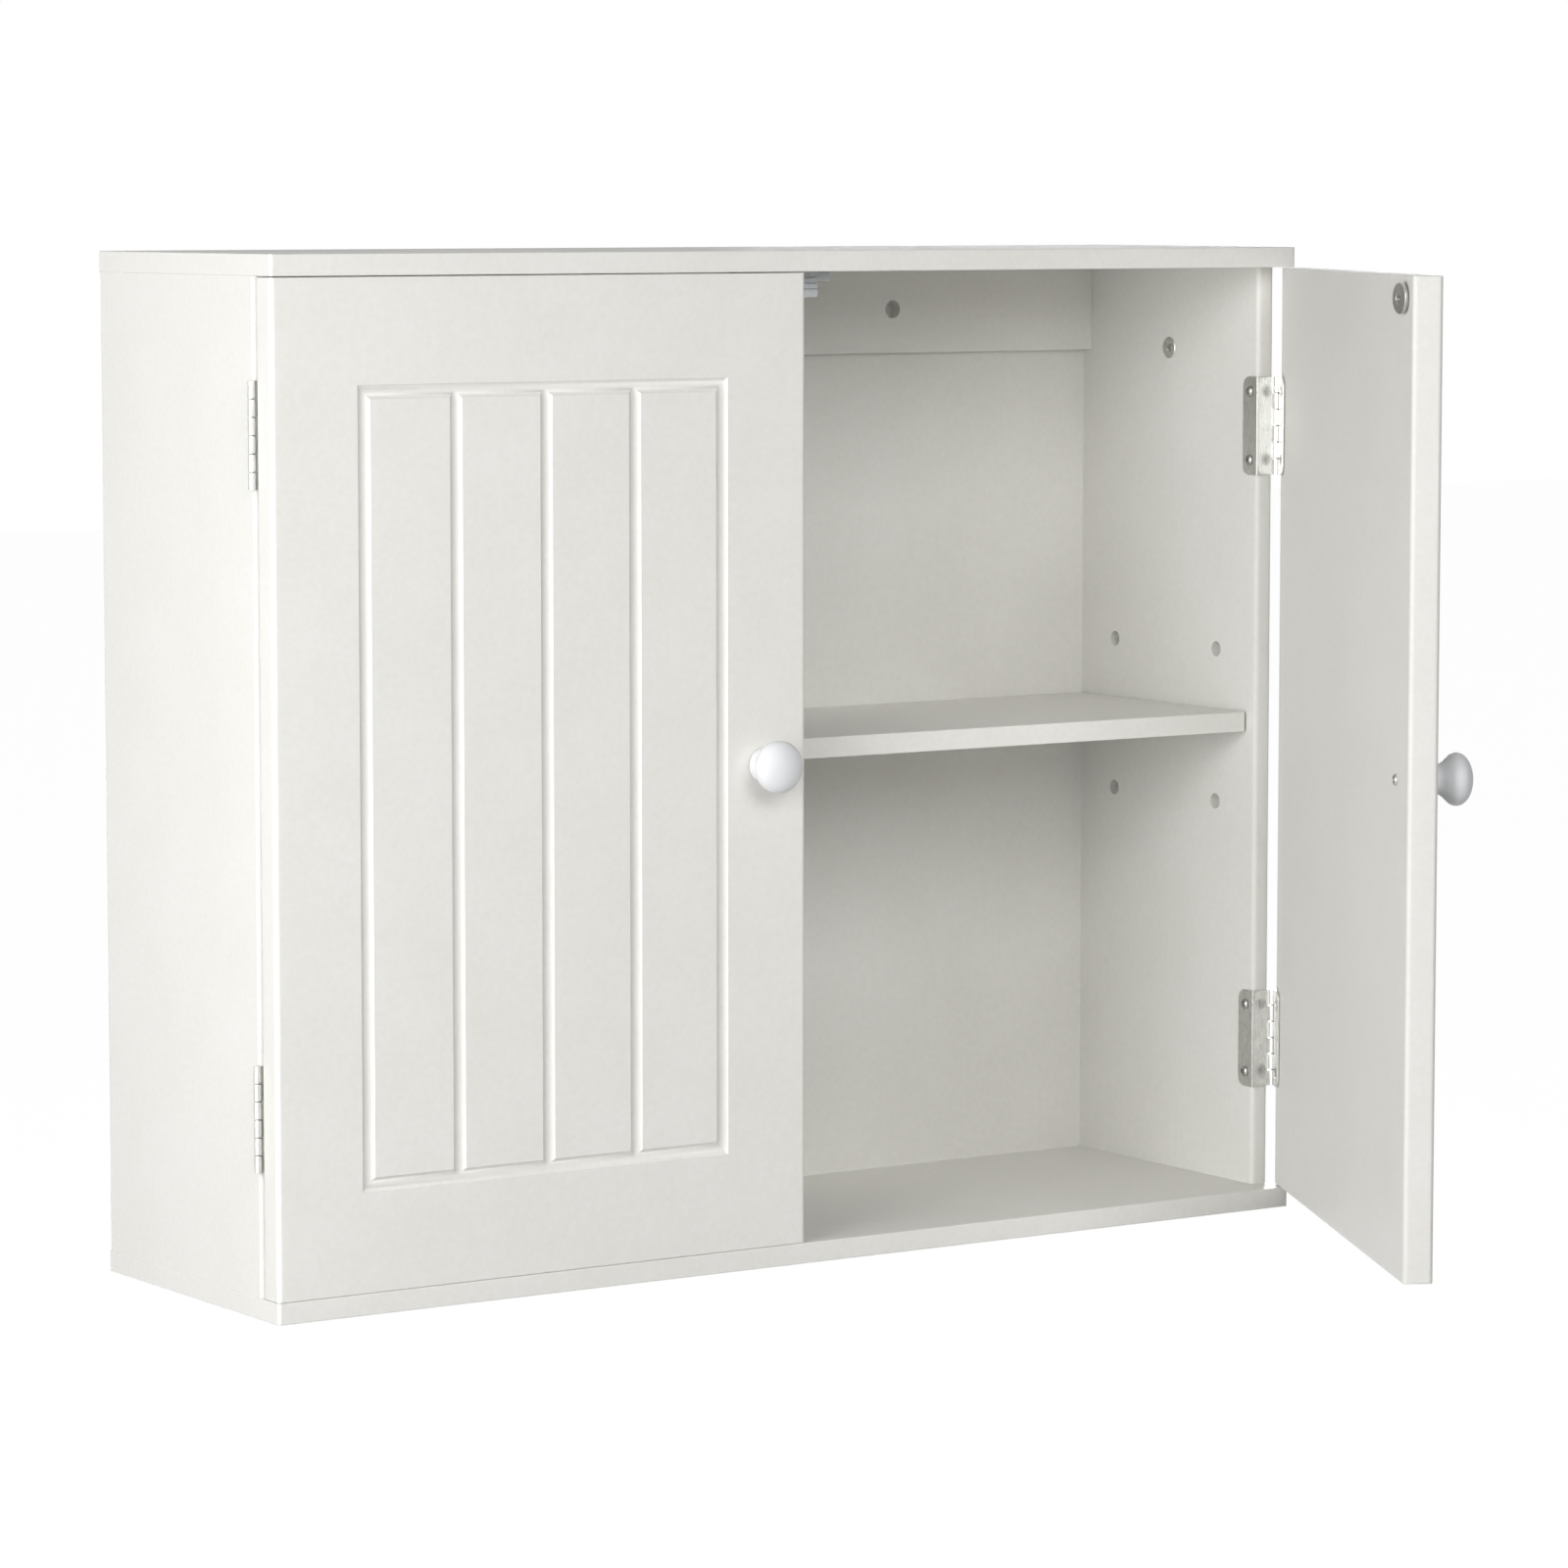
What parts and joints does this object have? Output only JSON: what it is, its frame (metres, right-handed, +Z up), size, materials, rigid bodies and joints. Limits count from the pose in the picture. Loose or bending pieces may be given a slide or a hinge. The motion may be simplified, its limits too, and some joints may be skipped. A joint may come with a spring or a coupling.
{
  "type": "hanging wall cabinet",
  "caption": "Shallow hanging wall cabinet in white lacquered board: a pair of grooved doors on wrap-round butt hinges, round knobs, magnetic catch and a movable shelf.",
  "frame": {"origin": "on the wall face of the back panel, midway between the two hanging holes", "axes": "+X to the right seen from the front, +Y into the wall, +Z up; the doors face -Y"},
  "size_m": [0.6179, 0.4305, 0.5],
  "materials": {
    "white_lacquer": "satin off-white lacquer sprayed on fibreboard",
    "knob_gloss_white": "smooth cool white, glossy",
    "hinge_nickel": "bright nickel-plated pressed steel",
    "screw_zinc": "bright zinc-plated steel",
    "catch_white_plastic": "satin moulded white plastic",
    "magnet_ferrite": "dull dark grey sintered ferrite",
    "strike_steel": "plain plated pressed steel",
    "fitting_zinc_alloy": "die-cast zinc alloy, dull grey",
    "peg_steel": "bright zinc-plated steel"
  },
  "bodies": {
    "cabinet": {"back_panel": "white_lacquer", "bottom_panel": "white_lacquer", "bottom_screw_left": "screw_zinc", "bottom_screw_right": "screw_zinc", "cam_bolt_left": "fitting_zinc_alloy", "cam_bolt_right": "fitting_zinc_alloy", "cam_lock_left": "fitting_zinc_alloy", "cam_lock_right": "fitting_zinc_alloy", "case_leaf_lower_left": "hinge_nickel", "case_leaf_lower_right": "hinge_nickel", "case_leaf_screw_lower_left_1": "screw_zinc", "case_leaf_screw_lower_left_2": "screw_zinc", "case_leaf_screw_lower_right_1": "screw_zinc", "case_leaf_screw_lower_right_2": "screw_zinc", "case_leaf_screw_upper_left_1": "screw_zinc", "case_leaf_screw_upper_left_2": "screw_zinc", "case_leaf_screw_upper_right_1": "screw_zinc", "case_leaf_screw_upper_right_2": "screw_zinc", "case_leaf_upper_left": "hinge_nickel", "case_leaf_upper_right": "hinge_nickel", "catch_housing": "catch_white_plastic", "catch_magnet_left": "magnet_ferrite", "catch_magnet_right": "magnet_ferrite", "catch_screw_left": "screw_zinc", "catch_screw_right": "screw_zinc", "hanging_rail": "white_lacquer", "hinge_pin_lower_left": "hinge_nickel", "hinge_pin_lower_right": "hinge_nickel", "hinge_pin_upper_left": "hinge_nickel", "hinge_pin_upper_right": "hinge_nickel", "left_side_panel": "white_lacquer", "right_side_panel": "white_lacquer", "shelf": "white_lacquer", "shelf_peg_left_front": "peg_steel", "shelf_peg_left_rear": "peg_steel", "shelf_peg_right_front": "peg_steel", "shelf_peg_right_rear": "peg_steel", "top_panel": "white_lacquer"},
    "left_door": {"door_leaf_lower_left": "hinge_nickel", "door_leaf_screw_lower_left_1": "screw_zinc", "door_leaf_screw_lower_left_2": "screw_zinc", "door_leaf_screw_upper_left_1": "screw_zinc", "door_leaf_screw_upper_left_2": "screw_zinc", "door_leaf_upper_left": "hinge_nickel", "knob_left": "knob_gloss_white", "knob_screw_left": "screw_zinc", "left_door": "white_lacquer", "strike_plate_left": "strike_steel", "strike_screw_left": "screw_zinc"},
    "right_door": {"door_leaf_lower_right": "hinge_nickel", "door_leaf_screw_lower_right_1": "screw_zinc", "door_leaf_screw_lower_right_2": "screw_zinc", "door_leaf_screw_upper_right_1": "screw_zinc", "door_leaf_screw_upper_right_2": "screw_zinc", "door_leaf_upper_right": "hinge_nickel", "knob_right": "knob_gloss_white", "knob_screw_right": "screw_zinc", "right_door": "white_lacquer", "strike_plate_right": "strike_steel", "strike_screw_right": "screw_zinc"}
  },
  "joints": [
    {"name": "left_door_hinge", "type": "hinge", "parent": "cabinet", "child": "left_door", "pos_m": [-0.3015, -0.157, 0], "axis": [0, 0, 1], "range_deg": [-180, 0]},
    {"name": "right_door_hinge", "type": "hinge", "parent": "cabinet", "child": "right_door", "pos_m": [0.3015, -0.157, 0], "axis": [0, 0, 1], "range_deg": [-63.7, 116.3]}
  ]
}
